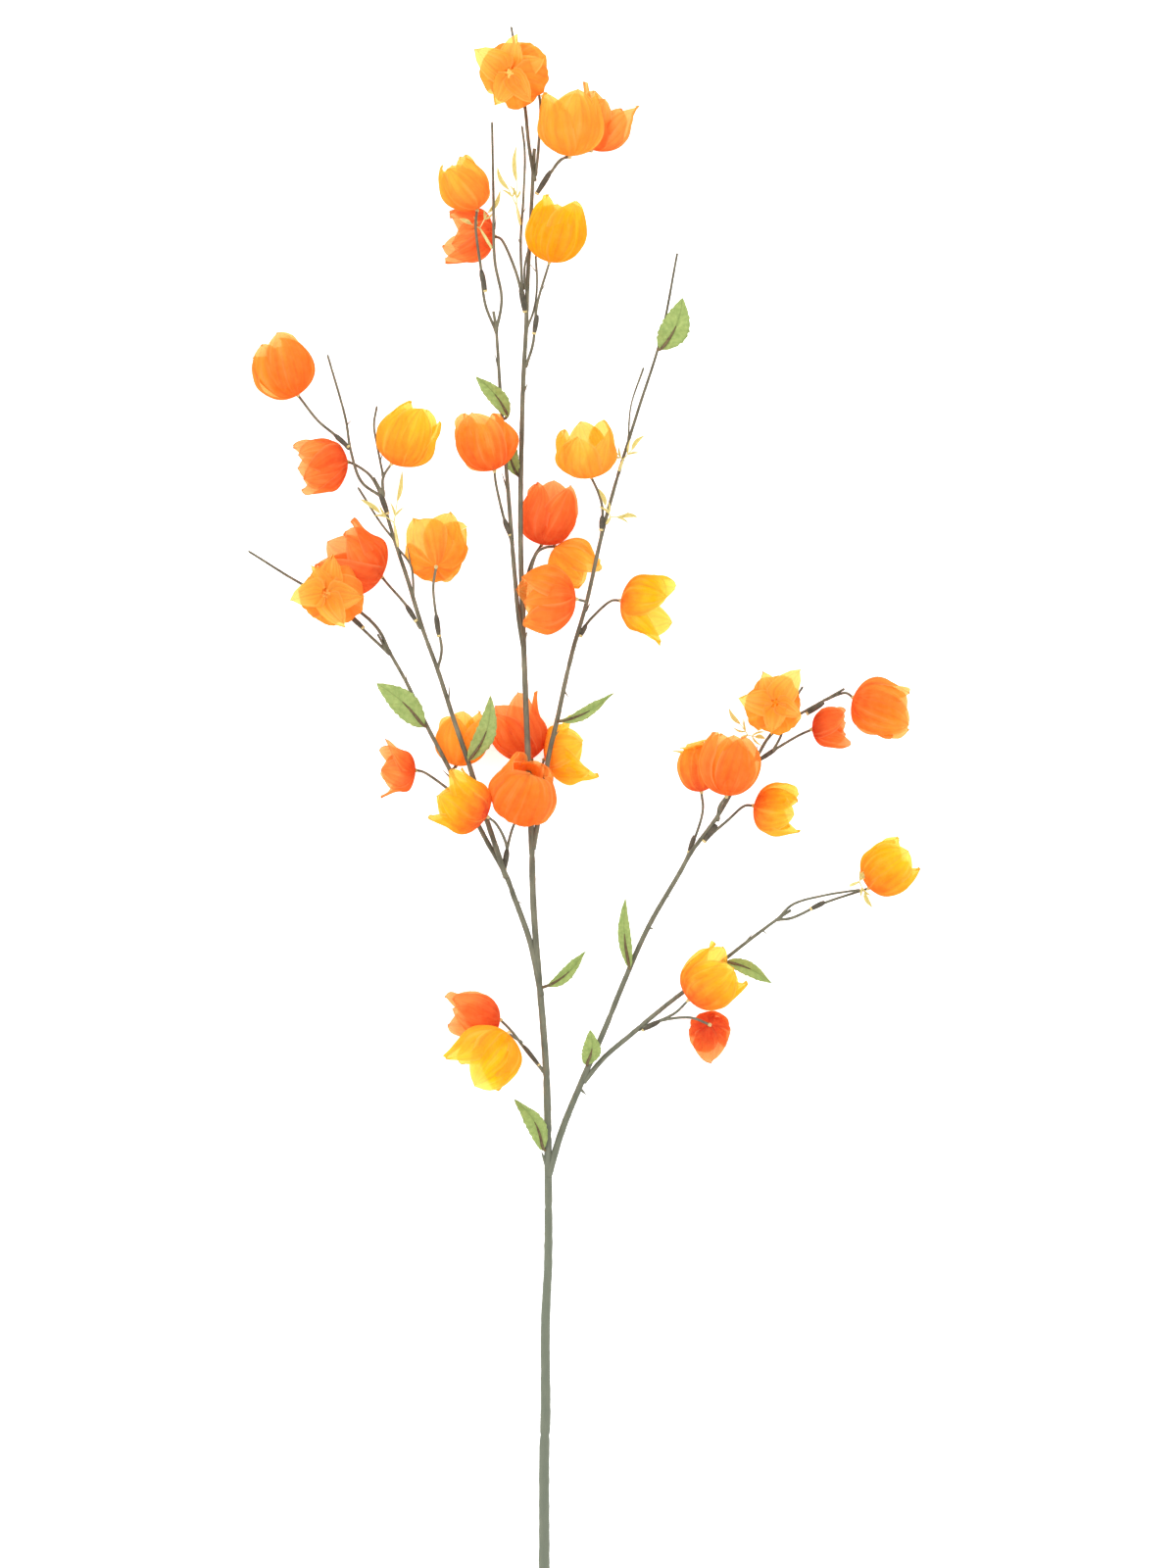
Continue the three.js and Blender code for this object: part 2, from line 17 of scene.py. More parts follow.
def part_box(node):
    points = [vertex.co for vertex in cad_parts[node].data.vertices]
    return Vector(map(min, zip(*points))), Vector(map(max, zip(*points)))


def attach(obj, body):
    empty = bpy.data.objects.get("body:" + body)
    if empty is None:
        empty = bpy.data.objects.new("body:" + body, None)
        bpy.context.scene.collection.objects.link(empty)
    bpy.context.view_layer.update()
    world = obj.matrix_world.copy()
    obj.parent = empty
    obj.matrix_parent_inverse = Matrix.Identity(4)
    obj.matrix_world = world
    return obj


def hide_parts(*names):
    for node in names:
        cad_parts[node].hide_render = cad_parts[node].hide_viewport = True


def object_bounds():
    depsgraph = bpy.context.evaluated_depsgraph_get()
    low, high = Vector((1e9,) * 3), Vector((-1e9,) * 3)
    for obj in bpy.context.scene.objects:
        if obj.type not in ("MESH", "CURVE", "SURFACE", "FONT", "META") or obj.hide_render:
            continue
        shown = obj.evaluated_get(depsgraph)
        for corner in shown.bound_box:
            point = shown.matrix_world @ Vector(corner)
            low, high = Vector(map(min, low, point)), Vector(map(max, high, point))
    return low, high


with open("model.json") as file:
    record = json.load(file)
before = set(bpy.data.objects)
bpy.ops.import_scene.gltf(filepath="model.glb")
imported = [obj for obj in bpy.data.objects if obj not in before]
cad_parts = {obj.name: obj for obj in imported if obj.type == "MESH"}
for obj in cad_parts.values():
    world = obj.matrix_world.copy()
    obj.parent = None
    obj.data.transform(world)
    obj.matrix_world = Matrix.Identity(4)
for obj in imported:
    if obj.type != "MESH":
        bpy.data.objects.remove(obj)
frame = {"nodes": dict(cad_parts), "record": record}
cad_low, cad_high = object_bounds()

# ------------------------------------------------------------------ driving values
MM = 0.001
LOBES = 5  # petals of a husk
PETAL_ROWS = 26  # mesh rows from the neck to the tip of a petal
PETAL_COLUMNS = 16
BARK_SIDES = 14
BARK_STEP = 2.2 * MM  # distance between rings of bark
TABLE = 0.0
CLEARANCE = 0.3 * MM  # least height of cloth above the table
THINNEST = 0.85  # least radius of a branch or of a twig's tip, in mm
MOUTH_START = 0.68  # share of a petal's length where its tip begins to curl
FLICK_FROM = 0.28  # a petal that flicks out more than this closes in first
FLICKED_ARC = 0.7  # share of its length where such a petal's arc is complete
NECK_ANGLE = 0.05  # radians from straight back at which a petal leaves the neck
SHUT, GATHERED, SPREAD = 85, 72, 60  # degrees: end of a shut husk's arc, of an open one's, its range
SEAM_DEPTH = 0.16  # share of the radius that a seam is let in
BLADE_ROWS, BLADE_COLUMNS = 22, 8
CLOTH_CLEAR, RIM_CLEAR = 0.14, 0.22  # how clear the cloth is, and how much more its rim
SENSOR = 36.0
SKY = 1.2  # strength of the even white light from all round
PAPER_GLOW = 0.6  # light that the paper floor gives off, so that it stays white

# How open each husk is (0 gathered tight, 1 wide), how red its base is, how green its tips are,
# and, where it is more than a little, how far its tips flick outwards.
HUSK_LOOKS = {
    "husk_01": (0.0, 0.35, 0.6, 0.64),
    "husk_02": (0.3, 0.0, 0.8, 0.12),
    "husk_03": (0.45, 0.5, 0.0, 0.2),
    "husk_04": (0.15, 0.5, 0.6),
    "husk_05": (0.4, 0.6, 0.0),
    "husk_06": (0.15, 0.1, 0.3),
    "husk_07": (0.1, 0.15, 0.0),
    "husk_08": (0.6, 0.6, 0.0),
    "husk_09": (0.2, 0.5, 0.1),
    "husk_10": (0.55, 0.5, 0.0),
    "husk_11": (0.0, 0.4, 0.5, 0.6),
    "husk_12": (0.42, 0.3, 0.2, 0.15),
    "husk_13": (0.25, 0.5, 0.0),
    "husk_14": (0.35, 0.1, 0.2),
    "husk_15": (0.35, 0.6, 0.0),
    "husk_16": (0.3, 0.1, 0.6),
    "husk_17": (0.3, 0.5, 0.0),
    "husk_18": (0.65, 0.7, 0.0),
    "husk_19": (0.9, 0.7, 0.0),
    "husk_20": (0.2, 0.2, 0.3),
    "husk_21": (0.6, 1.0, 0.3),
    "husk_22": (0.45, 0.6, 0.0, 0.15),
    "husk_23": (0.0, 0.2, 0.0, 0.22),
    "husk_24": (0.7, 0.7, 0.2),
    "husk_25": (0.7, 0.7, 0.0),
    "husk_26": (0.45, 0.1, 0.1, 0.1),
    "husk_27": (0.0, 0.1, 0.6, 0.66),
    "husk_28": (0.6, 0.8, 0.0),
    "husk_29": (0.3, 0.5, 0.0),
    "husk_30": (0.3, 0.9, 0.8, 0.3),
    "husk_31": (0.35, 0.4, 0.1),
    "husk_32": (0.35, 0.9, 0.4),
    "husk_33": (0.45, 0.6, 0.0),
    "husk_34": (0.4, 0.8, 0.2),
    "husk_35": (0.6, 0.9, 0.0),
}

# The same routes as the CAD model's, in the stem's own millimetres. route: the middle of the
# branch. radii: its radius at even steps. twigs: [start radius, tip radius, route]. stalks: the
# same, named for the husk each carries. collars: [from, to, radius]. thorns: [root, tip, radius].
BRANCHES = {
  "main_stem": {
    "radii": [4, 3.6, 3, 2.5, 2.3, 2.1, 1.8, 1.6, 1.3],
    "route": [
      [0, -17, 3.4], [0, 29, 3.4], [0, 72, 4.2], [1, 115, 6], [1, 180, 9], [3, 223, 12],
      [3, 292, 16], [2, 356, 21], [0, 389, 24], [-3, 425, 27], [-6, 461, 31], [-8, 493, 34],
      [-9, 533, 38], [-12, 605, 44], [-15, 684, 47], [-17, 752, 47], [-17, 792, 46],
      [-15, 875, 44], [-13, 911, 43], [-12, 943, 42], [-10, 983, 41], [-7, 1043, 38],
    ],
    "twigs": [
      [1.2, 0.4, [[-7, 1020, 40], [-11, 1045, 39], [-14, 1074, 34], [-17, 1091, 27], [-24, 1133, 26]]],
      [0.9, 0.4, [[-16, 940, 46], [-17, 975, 47], [-15, 1006, 47], [-14, 1040, 48], [-16, 1058, 48]]],
      [0.8, 0.5, [[-14, 940, 45], [-14, 956, 46], [-10, 973, 45]]],
      [0.8, 0.4, [[-13, 909, 43], [-7, 925, 48], [-5, 943, 49], [-6, 963, 47]]],
    ],
    "stalks": {
      "husk_01": [0.9, 0.7, [[-6, 1024, 40], [-4, 1044, 38], [-4, 1084, 33], [-15, 1100, 31]]],
      "husk_02": [0.8, 0.7, [[5, 1025, 43], [12, 1034, 47], [19, 1036, 51]]],
      "husk_03": [0.8, 0.7, [[5, 1025, 43], [13, 1035, 37], [24, 1040, 27], [35, 1043, 21]]],
      "husk_05": [0.9, 0.7, [[-17, 940, 46], [-22, 956, 46], [-31, 976, 37], [-36, 979, 27]]],
      "husk_06": [0.9, 0.7, [[-13, 883, 44], [-8, 899, 47], [-5, 927, 51], [4, 958, 55]]],
      "husk_15": [0.9, 0.7, [[-15, 691, 47], [-12, 730, 39], [-7, 744, 31], [-2, 752, 22]]],
      "husk_16": [0.9, 0.7, [[-12, 724, 41], [-5, 746, 35], [1, 750, 30], [8, 751, 23]]],
      "husk_22": [0.9, 0.7, [[-10, 576, 41], [-7, 586, 30], [-9, 594, 20]]],
      "husk_25": [1.1, 0.7, [[0, 364, 21], [-11, 377, 21], [-25, 395, 20], [-32, 402, 20]]],
      "husk_26": [0.8, 0.7, [[-17, 386, 21], [-24, 391, 33], [-26, 393, 41]]],
    },
    "collars": [
      [[-5, 1010, 41], [5, 1026, 43], 2.1],
      [[-14, 923, 44], [-17, 941, 46], 2.1],
      [[-7, 907, 48], [-5, 920, 50], 2.0],
      [[-4, 369, 21], [-15, 383, 21], 1.7],
    ],
    "thorns": [
      [[-15, 680, 47], [-12, 688, 49], 1.3], [[2, 295, 16], [-2, 305, 19], 1.8],
      [[-16, 831, 45], [-18, 834, 48], 1], [[-15, 863, 44], [-12, 870, 46], 1],
      [[-17, 971, 47], [-19, 977, 48], 0.5], [[-16, 994, 47], [-13, 999, 48], 0.5],
      [[-3, 936, 52], [1, 942, 54], 0.5], [[-5, 951, 49], [-10, 957, 50], 0.5],
    ],
  },
  "right_branch": {
    "radii": [2.7, 2.1, 1.8, 1.4, 0.9],
    "route": [
      [3, 286, 16], [13, 320, 18], [28, 357, 20], [45, 396, 22], [60, 433, 23], [77, 471, 24],
      [99, 509, 25], [108, 525, 25], [127, 551, 26], [145, 581, 27], [156, 595, 28],
      [166, 611, 28], [178, 621, 29], [207, 638, 31], [221, 646, 32],
    ],
    "twigs": [
      [0.9, 0.4, [[166, 611, 28], [176, 625, 30], [190, 647, 33]]],
    ],
    "stalks": {
      "husk_27": [0.8, 0.7, [[169, 601, 29], [175, 614, 31], [173, 623, 34], [169, 630, 36]]],
      "husk_28": [0.9, 0.7, [[158, 594, 28], [171, 602, 28], [188, 612, 27], [197, 616, 26]]],
      "husk_29": [0.8, 0.7, [[207, 638, 31], [222, 643, 31], [227, 640, 29]]],
      "husk_30": [0.9, 0.7, [[95, 502, 24], [107, 526, 20], [117, 556, 17], [116, 570, 17]]],
      "husk_31": [1.1, 0.7, [[128, 550, 26], [129, 559, 35], [134, 567, 50]]],
      "husk_32": [0.9, 0.7, [[122, 538, 26], [135, 549, 26], [148, 560, 25], [154, 560, 24]]],
    },
    "collars": [
      [[107, 526, 20], [111, 538, 19], 1.9], [[118, 534, 26], [127, 546, 26], 2.2],
      [[159, 594, 28], [171, 602, 28], 1.8], [[194, 628, 30], [206, 636, 31], 1.9],
    ],
    "thorns": [
      [[156, 596, 28], [157, 604, 30], 0.6], [[27, 351, 20], [31, 347, 21], 1.2],
      [[78, 470, 24], [81, 469, 26], 0.8], [[89, 493, 25], [93, 493, 26], 0.8],
    ],
  },
  "lower_right_branch": {
    "radii": [2, 1.8, 1.4, 1.1],
    "route": [
      [29, 356, 20], [44, 374, 19], [65, 392, 18], [89, 412, 17], [119, 435, 16],
      [145, 456, 17], [173, 477, 18], [182, 483, 19],
    ],
    "twigs": [
      [0.9, 0.4, [[172, 476, 18], [183, 487, 20], [207, 494, 22], [232, 498, 24]]],
    ],
    "stalks": {
      "husk_33": [0.9, 0.7, [[172, 476, 18], [182, 477, 18], [206, 488, 19], [239, 499, 21]]],
      "husk_34": [0.9, 0.7, [[70, 395, 18], [84, 401, 20], [96, 407, 25], [106, 417, 39]]],
      "husk_35": [0.9, 0.7, [[70, 395, 18], [84, 401, 20], [108, 404, 29], [122, 399, 34]]],
    },
    "collars": [
      [[197, 484, 19], [207, 489, 19], 1.9], [[73, 395, 18], [85, 401, 21], 1.9],
    ],
    "thorns": [
      [[149, 460, 17], [154, 466, 19], 0.6], [[161, 468, 17], [165, 465, 19], 0.6],
    ],
  },
  "left_branch": {
    "radii": [2.3, 2, 1.7, 1.5, 1.2],
    "route": [
      [-2, 420, 27], [-10, 459, 31], [-22, 493, 34], [-28, 509, 36], [-43, 536, 38],
      [-59, 567, 40], [-73, 594, 43], [-87, 621, 45], [-100, 649, 45], [-114, 674, 43],
    ],
    "twigs": [
      [1.1, 0.4, [[-113, 672, 43], [-122, 690, 41], [-142, 707, 30], [-176, 722, 26], [-217, 747, 29]]],
      [0.9, 0.8, [[-116, 675, 43], [-122, 686, 44]]],
    ],
    "stalks": {
      "husk_11": [0.9, 0.7, [[-114, 672, 43], [-129, 686, 42], [-143, 700, 38], [-151, 714, 33]]],
      "husk_19": [0.9, 0.7, [[-55, 559, 40], [-74, 575, 35], [-89, 585, 32], [-94, 586, 31]]],
      "husk_20": [0.8, 0.7, [[-69, 585, 42], [-67, 587, 33], [-65, 589, 23]]],
      "husk_21": [1, 0.7, [[-29, 512, 36], [-27, 528, 40], [-35, 547, 62], [-41, 552, 69]]],
      "husk_23": [1, 0.7, [[-29, 512, 36], [-27, 528, 40], [-22, 546, 46], [-19, 550, 48]]],
    },
    "collars": [
      [[-133, 691, 41], [-143, 700, 38], 1.9], [[-29, 514, 37], [-27, 528, 40], 2.1],
    ],
    "thorns": [
      [[-69, 581, 42], [-74, 586, 44], 0.7], [[-100, 648, 45], [-101, 656, 47], 0.6],
      [[-20, 490, 34], [-16, 488, 36], 0.6],
    ],
  },
  "inner_left_branch": {
    "radii": [2, 1.9, 1.6, 1.5, 1.2],
    "route": [
      [-28, 507, 37], [-32, 520, 40], [-36, 532, 42], [-47, 565, 45], [-57, 597, 47], [-66, 623, 48],
      [-78, 660, 47], [-89, 690, 45], [-100, 726, 43], [-110, 756, 42], [-120, 790, 42],
    ],
    "twigs": [
      [1, 0.9, [[-119, 790, 42], [-125, 801, 44]]],
      [0.8, 0.4, [[-118, 802, 43], [-123, 827, 37], [-125, 840, 35], [-123, 853, 35]]],
      [1, 0.4, [[-119, 787, 42], [-134, 798, 38], [-142, 821, 35], [-146, 845, 33], [-159, 891, 33]]],
      [0.8, 0.4, [[-109, 754, 42], [-120, 768, 44], [-136, 793, 47]]],
      [0.8, 0.6, [[-96, 713, 44], [-96, 726, 45], [-98, 737, 46], [-108, 750, 42]]],
    ],
    "stalks": {
      "husk_07": [0.9, 0.7, [[-144, 823, 35], [-154, 833, 32], [-166, 843, 30], [-181, 862, 25]]],
      "husk_08": [0.9, 0.7, [[-120, 790, 42], [-128, 803, 37], [-139, 811, 31], [-144, 813, 28]]],
      "husk_09": [1, 0.7, [[-118, 788, 42], [-118, 801, 44], [-112, 811, 46]]],
      "husk_10": [0.9, 0.7, [[-91, 691, 45], [-101, 707, 42], [-114, 722, 33], [-119, 728, 28]]],
      "husk_12": [0.9, 0.7, [[-78, 660, 47], [-75, 674, 48], [-78, 693, 50], [-81, 720, 54], [-79, 735, 54]]],
    },
    "collars": [
      [[-115, 775, 42], [-120, 789, 42], 2.1], [[-144, 824, 35], [-154, 833, 32], 1.9],
      [[-94, 696, 45], [-101, 707, 42], 1.9], [[-77, 685, 49], [-79, 700, 51], 2.0],
    ],
    "thorns": [
      [[-120, 814, 41], [-118, 820, 42], 0.5], [[-145, 840, 34], [-141, 844, 35], 0.5],
      [[-70, 634, 48], [-69, 649, 50], 0.8], [[-98, 738, 46], [-100, 750, 47], 0.6],
    ],
  },
  "tall_branch": {
    "radii": [2, 1.7, 1.4, 1.1, 0.5],
    "route": [
      [-8, 528, 38], [-2, 562, 40], [4, 599, 42], [10, 624, 43], [15, 648, 43], [22, 677, 41],
      [31, 708, 39], [42, 757, 38], [53, 798, 37], [69, 850, 37], [86, 904, 37], [98, 966, 38],
    ],
    "twigs": [
      [0.6, 0.3, [[62, 829, 37], [64, 854, 40], [73, 881, 42]]],
    ],
    "stalks": {
      "husk_14": [0.9, 0.7, [[42, 757, 38], [43, 778, 39], [40, 790, 39], [35, 801, 39]]],
      "husk_17": [0.9, 0.7, [[30, 703, 39], [31, 709, 54], [24, 711, 73]]],
      "husk_18": [0.9, 0.7, [[27, 688, 40], [36, 699, 35], [50, 711, 28], [56, 711, 26]]],
      "husk_24": [0.9, 0.7, [[-1, 569, 40], [-4, 580, 32], [0, 594, 21]]],
    },
    "collars": [
      [[27, 685, 40], [31, 693, 39], 1.8], [[42, 763, 39], [43, 773, 39], 1.9],
    ],
    "thorns": [
      [[31, 703, 39], [34, 709, 41], 0.8], [[62, 840, 38], [63, 845, 40], 0.5],
      [[15, 644, 43], [18, 640, 45], 0.8], [[7, 610, 43], [11, 615, 45], 0.8],
    ],
  },
  "middle_branch": {
    "radii": [1.7, 1.6, 1.4, 1.3, 1.1],
    "route": [
      [-15, 676, 47], [-18, 694, 50], [-21, 725, 51], [-23, 749, 50], [-26, 788, 49],
      [-29, 824, 47], [-32, 864, 46], [-35, 909, 45], [-37, 923, 45],
    ],
    "twigs": [
      [1, 0.4, [[-35, 908, 45], [-31, 932, 46], [-36, 960, 47], [-37, 1010, 48], [-38, 1061, 48]]],
    ],
    "stalks": {
      "husk_04": [0.9, 0.7, [[-35, 908, 45], [-43, 928, 47], [-46, 953, 49], [-50, 985, 50], [-49, 997, 48]]],
      "husk_13": [0.9, 0.7, [[-23, 752, 49], [-29, 770, 53], [-35, 796, 65], [-36, 805, 70]]],
    },
    "collars": [
      [[-43, 938, 48], [-46, 953, 49], 2], [[-25, 759, 50], [-29, 770, 53], 1.9],
    ],
    "thorns": [
      [[-36, 983, 48], [-35, 993, 49], 0.5], [[-27, 792, 48], [-31, 805, 50], 0.7],
      [[-34, 883, 46], [-36, 892, 47], 0.6],
    ],
  },
}

# name: base, tip, width and arch of the blade
LEAVES = {
  "leaf_top": [[86, 895, 40], [102, 933, 44], 20, 4],
  "leaf_middle_upper": [[-26, 845, 50], [-50, 875, 51], 12, 4],
  "leaf_middle_lower": [[-19, 802, 42], [-23, 835, 41], 11, 3],
  "leaf_outer_left": [[-88, 618, 48], [-123, 650, 44], 18, 4],
  "leaf_inner_left": [[-55, 593, 51], [-39, 641, 57], 14, 4],
  "leaf_curled": [[12, 622, 47], [52, 643, 46], 8, 6],
  "leaf_right": [[63, 440, 26], [60, 492, 27], 9, 3],
  "leaf_lower_right": [[134, 445, 19], [168, 429, 18], 10, 4],
  "leaf_fork": [[31, 369, 23], [34, 395, 26], 13, 3],
  "leaf_narrow": [[2, 427, 29], [31, 453, 27], 9, 5],
  "leaf_low": [[-1, 306, 20], [-22, 344, 24], 13, 4],
}

# name: root, fork, width of a long leaf, tips of the long leaves
SPRIGS = {
  "sprig_left_top": [[-38, 969, 46], [-47, 984, 46], 4, [[-62, 991, 45], [-32, 1012, 46]]],
  "sprig_top": [[-17, 986, 50], [-20, 1000, 52], 4, [[-20, 1044, 53], [-34, 1029, 52]]],
  "sprig_tall": [[55, 806, 40], [58, 814, 42], 4, [[46, 828, 42], [74, 832, 42]]],
  "sprig_tall_lower": [[46, 767, 41], [49, 772, 43], 4, [[40, 793, 44], [69, 772, 42]]],
  "sprig_left": [[-107, 750, 45], [-110, 768, 46], 4, [[-104, 806, 47], [-135, 785, 50]]],
  "sprig_right": [[145, 610, 31], [150, 612, 32], 4, [[136, 632, 32], [163, 609, 33]]],
  "sprig_lower_right": [[225, 501, 27], [232, 504, 28], 4, [[237, 512, 29], [242, 485, 27]]],
}

# Two points of the frame say where the routes lie in it: a leaf's tip and the stem's cut end.
SHIFT = Vector(
    (
        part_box("leaf_lower_right")[1].x - LEAVES["leaf_lower_right"][1][0] * MM,
        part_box("main_stem")[0].y - BRANCHES["main_stem"]["route"][0][1] * MM,
        TABLE,
    )
)


def place(point):
    """A route's point in the frame."""
    return Vector(point) * MM + SHIFT


def pin(name, verts, faces, material, stands_for, slot, uvs=None, tints=None):
    """Makes one piece of the spray that stands for the CAD nodes of the given names."""
    mesh = bpy.data.meshes.new(name)
    mesh.from_pydata(verts, [], faces)
    mesh.update()
    mesh.polygons.foreach_set("use_smooth", [True] * len(mesh.polygons))
    if uvs:
        layer = mesh.uv_layers.new(name="along_across")
        for loop in mesh.loops:
            layer.data[loop.index].uv = uvs[loop.vertex_index]
    if tints:
        layer = mesh.color_attributes.new(name="tint", type="FLOAT_COLOR", domain="POINT")
        for index, tint in enumerate(tints):
            layer.data[index].color = tint
    mesh.materials.append(material)
    piece = bpy.data.objects.new(name, mesh)
    bpy.context.scene.collection.objects.link(piece)
    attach(piece, "root")
    if stands_for:
        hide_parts(*stands_for)
    return piece


# ------------------------------------------------------------------ smooth routes
def smooth_route(points, step):
    """Even points along a centripetal Catmull-Rom curve through the given ones."""
    if len(points) == 2:
        count = max(2, math.ceil((points[1] - points[0]).length / step))
        return [points[0].lerp(points[1], i / count) for i in range(count + 1)]
    ends = [points[0] * 2 - points[1], *points, points[-1] * 2 - points[-2]]
    dense = []
    for a, b, c, d in zip(ends, ends[1:], ends[2:], ends[3:]):
        t0 = 0.0
        t1 = t0 + math.sqrt(max((b - a).length, 1e-9))
        t2 = t1 + math.sqrt(max((c - b).length, 1e-9))
        t3 = t2 + math.sqrt(max((d - c).length, 1e-9))
        for k in range(12):
            t = t1 + (t2 - t1) * k / 12
            p = a * ((t1 - t) / (t1 - t0)) + b * ((t - t0) / (t1 - t0))
            q = b * ((t2 - t) / (t2 - t1)) + c * ((t - t1) / (t2 - t1))
            r = c * ((t3 - t) / (t3 - t2)) + d * ((t - t2) / (t3 - t2))
            m = p * ((t2 - t) / (t2 - t0)) + q * ((t - t0) / (t2 - t0))
            n = q * ((t3 - t) / (t3 - t1)) + r * ((t - t1) / (t3 - t1))
            dense.append(m * ((t2 - t) / (t2 - t1)) + n * ((t - t1) / (t2 - t1)))
    dense.append(points[-1])
    lengths = [0.0]
    for a, b in zip(dense, dense[1:]):
        lengths.append(lengths[-1] + (b - a).length)
    count = max(3, math.ceil(lengths[-1] / step))
    even = []
    cell = 0
    for i in range(count + 1):
        want = lengths[-1] * i / count
        while cell < len(dense) - 2 and lengths[cell + 1] < want:
            cell += 1
        share = (want - lengths[cell]) / max(lengths[cell + 1] - lengths[cell], 1e-12)
        even.append(dense[cell].lerp(dense[cell + 1], min(max(share, 0.0), 1.0)))
    return even


def read_list(values, share):
    """A value read from a list of values at even steps."""
    spot = share * (len(values) - 1)
    cell = min(int(spot), len(values) - 2)
    return values[cell] + (values[cell + 1] - values[cell]) * (spot - cell)


def add_rod(build, route, radii, sides, rough=0.0, blunt=True, rings=()):
    """Adds a closed round rod to build. rough is the bark's relief as a share of the radius."""
    verts, faces = build
    first = len(verts)
    side = None
    count = len(route)
    for i, centre in enumerate(route):
        along = (route[min(i + 1, count - 1)] - route[max(i - 1, 0)]).normalized()
        if side is None:
            side = along.orthogonal().normalized()
        side = (side - along * side.dot(along)).normalized()
        other = along.cross(side)
        share = i / (count - 1)
        radius = read_list(radii, share) * MM
        for ring in rings:
            radius *= 1 - SEAM_DEPTH * math.exp(-(((share - ring) * count / 0.9) ** 2))
        for k in range(sides):
            angle = k / sides * math.tau
            out = side * math.cos(angle) + other * math.sin(angle)
            spot = centre + out * radius
            relief = 0.0
            if rough:
                grain = noise.noise(Vector((spot.x * 900, spot.y * 160, spot.z * 900)))
                knobs = noise.noise(spot * 260)
                relief = rough * (0.6 * grain + 0.9 * max(0.0, knobs - 0.15))
            spot = centre + out * radius * (1 + relief)
            spot.z = max(spot.z, TABLE + 0.1 * MM)
            verts.append(spot)
    for i in range(count - 1):
        for k in range(sides):
            low = first + i * sides
            n = (k + 1) % sides
            faces.append((low + k, low + n, low + sides + n, low + sides + k))
    begin = len(verts)
    back = (route[0] - route[1]).normalized()
    ahead = (route[-1] - route[-2]).normalized()
    dome = 0.0 if blunt else 0.5
    verts.append(route[0] + back * radii[0] * MM * dome)
    verts.append(route[-1] + ahead * radii[-1] * MM * (0.15 if blunt else 1.6))
    last = first + (count - 1) * sides
    for k in range(sides):
        n = (k + 1) % sides
        faces.append((begin, first + n, first + k))
        faces.append((begin + 1, last + k, last + n))


def lay(points):
    return [place(p) for p in points]


def build_branch(name, plan):
    """One branch with its twigs, stalks, thorns and knuckles; its collars are pieces of their own."""
    seams = {"main_stem": [0.105, 0.265, 0.315, 0.355, 0.42, 0.51, 0.555]}.get(name, [0.3, 0.62])
    wood = ([], [])
    route = smooth_route(lay(plan["route"]), BARK_STEP)
    radii = [max(radius, THINNEST) for radius in plan["radii"]]
    add_rod(wood, route, radii, BARK_SIDES, rough=0.13, rings=seams)
    for start, tip, points in plan["twigs"]:
        line = smooth_route(lay(points), 1.8 * MM)
        thickness = [start * 1.15, start, max(tip, THINNEST)]
        add_rod(wood, line, thickness, 10, rough=0.16, blunt=tip > 0.5)
    for start, tip, points in plan["stalks"].values():
        line = smooth_route(lay(points), 1.6 * MM)
        add_rod(wood, line, [start * 1.25, tip * 1.3], 10, rough=0.08, blunt=False)
    for root, tip, radius in plan["thorns"]:
        line = smooth_route(lay([root, tip]), 1.2 * MM)
        add_rod(wood, line, [radius, radius * 0.7, 0.18], 10, rough=0.1, blunt=False)
    # small knuckles where something leaves the branch
    for start, _, points in [*plan["twigs"], *plan["stalks"].values()]:
        base = place(points[0])
        ahead = (place(points[1]) - base).normalized()
        knuckle = [base - ahead * 1.2 * MM, base + ahead * 1.0 * MM, base + ahead * 4.2 * MM]
        thickness = [start * 1.3, start * 1.55, start]
        add_rod(wood, smooth_route(knuckle, 0.9 * MM), thickness, 10, rough=0.12)
    pin(f"{name}_bark", *wood, BARK, [name], "bark")

    sleeves = ([], [])
    cuffs = ([], [])
    for start, end, radius in plan["collars"]:
        a, b = place(start), place(end)
        ahead = (b - a).normalized()
        line = smooth_route([a, b], 1.0 * MM)
        shape = [radius * 0.72, radius * 0.9, radius, radius * 1.04, radius * 0.98, radius * 0.62]
        add_rod(sleeves, line, shape, BARK_SIDES, rough=0.07)
        ring = smooth_route([a - ahead * 1.1 * MM, a + ahead * 0.5 * MM], 0.5 * MM)
        add_rod(cuffs, ring, [radius * 0.7, radius * 0.86, radius * 0.8], 12, rough=0.2)
    if plan["collars"]:
        pin(f"{name}_sleeves", *sleeves, SLEEVE, [], "bark")
        pin(f"{name}_cuffs", *cuffs, CUFF, [], "bark")


# ------------------------------------------------------------------ husks
def read_husk(name, neck):
    """Aim, length and widest radius of a husk, read from its solid in the frame."""
    points = [v.co.copy() for v in frame["nodes"][name].data.vertices]
    middle = sum(points, Vector()) / len(points)
    aim = (middle - neck).normalized()
    reach = max((p - neck).dot(aim) for p in points)
    out = sorted(((p - neck) - aim * (p - neck).dot(aim)).length for p in points)
    return aim, reach, out[-3]


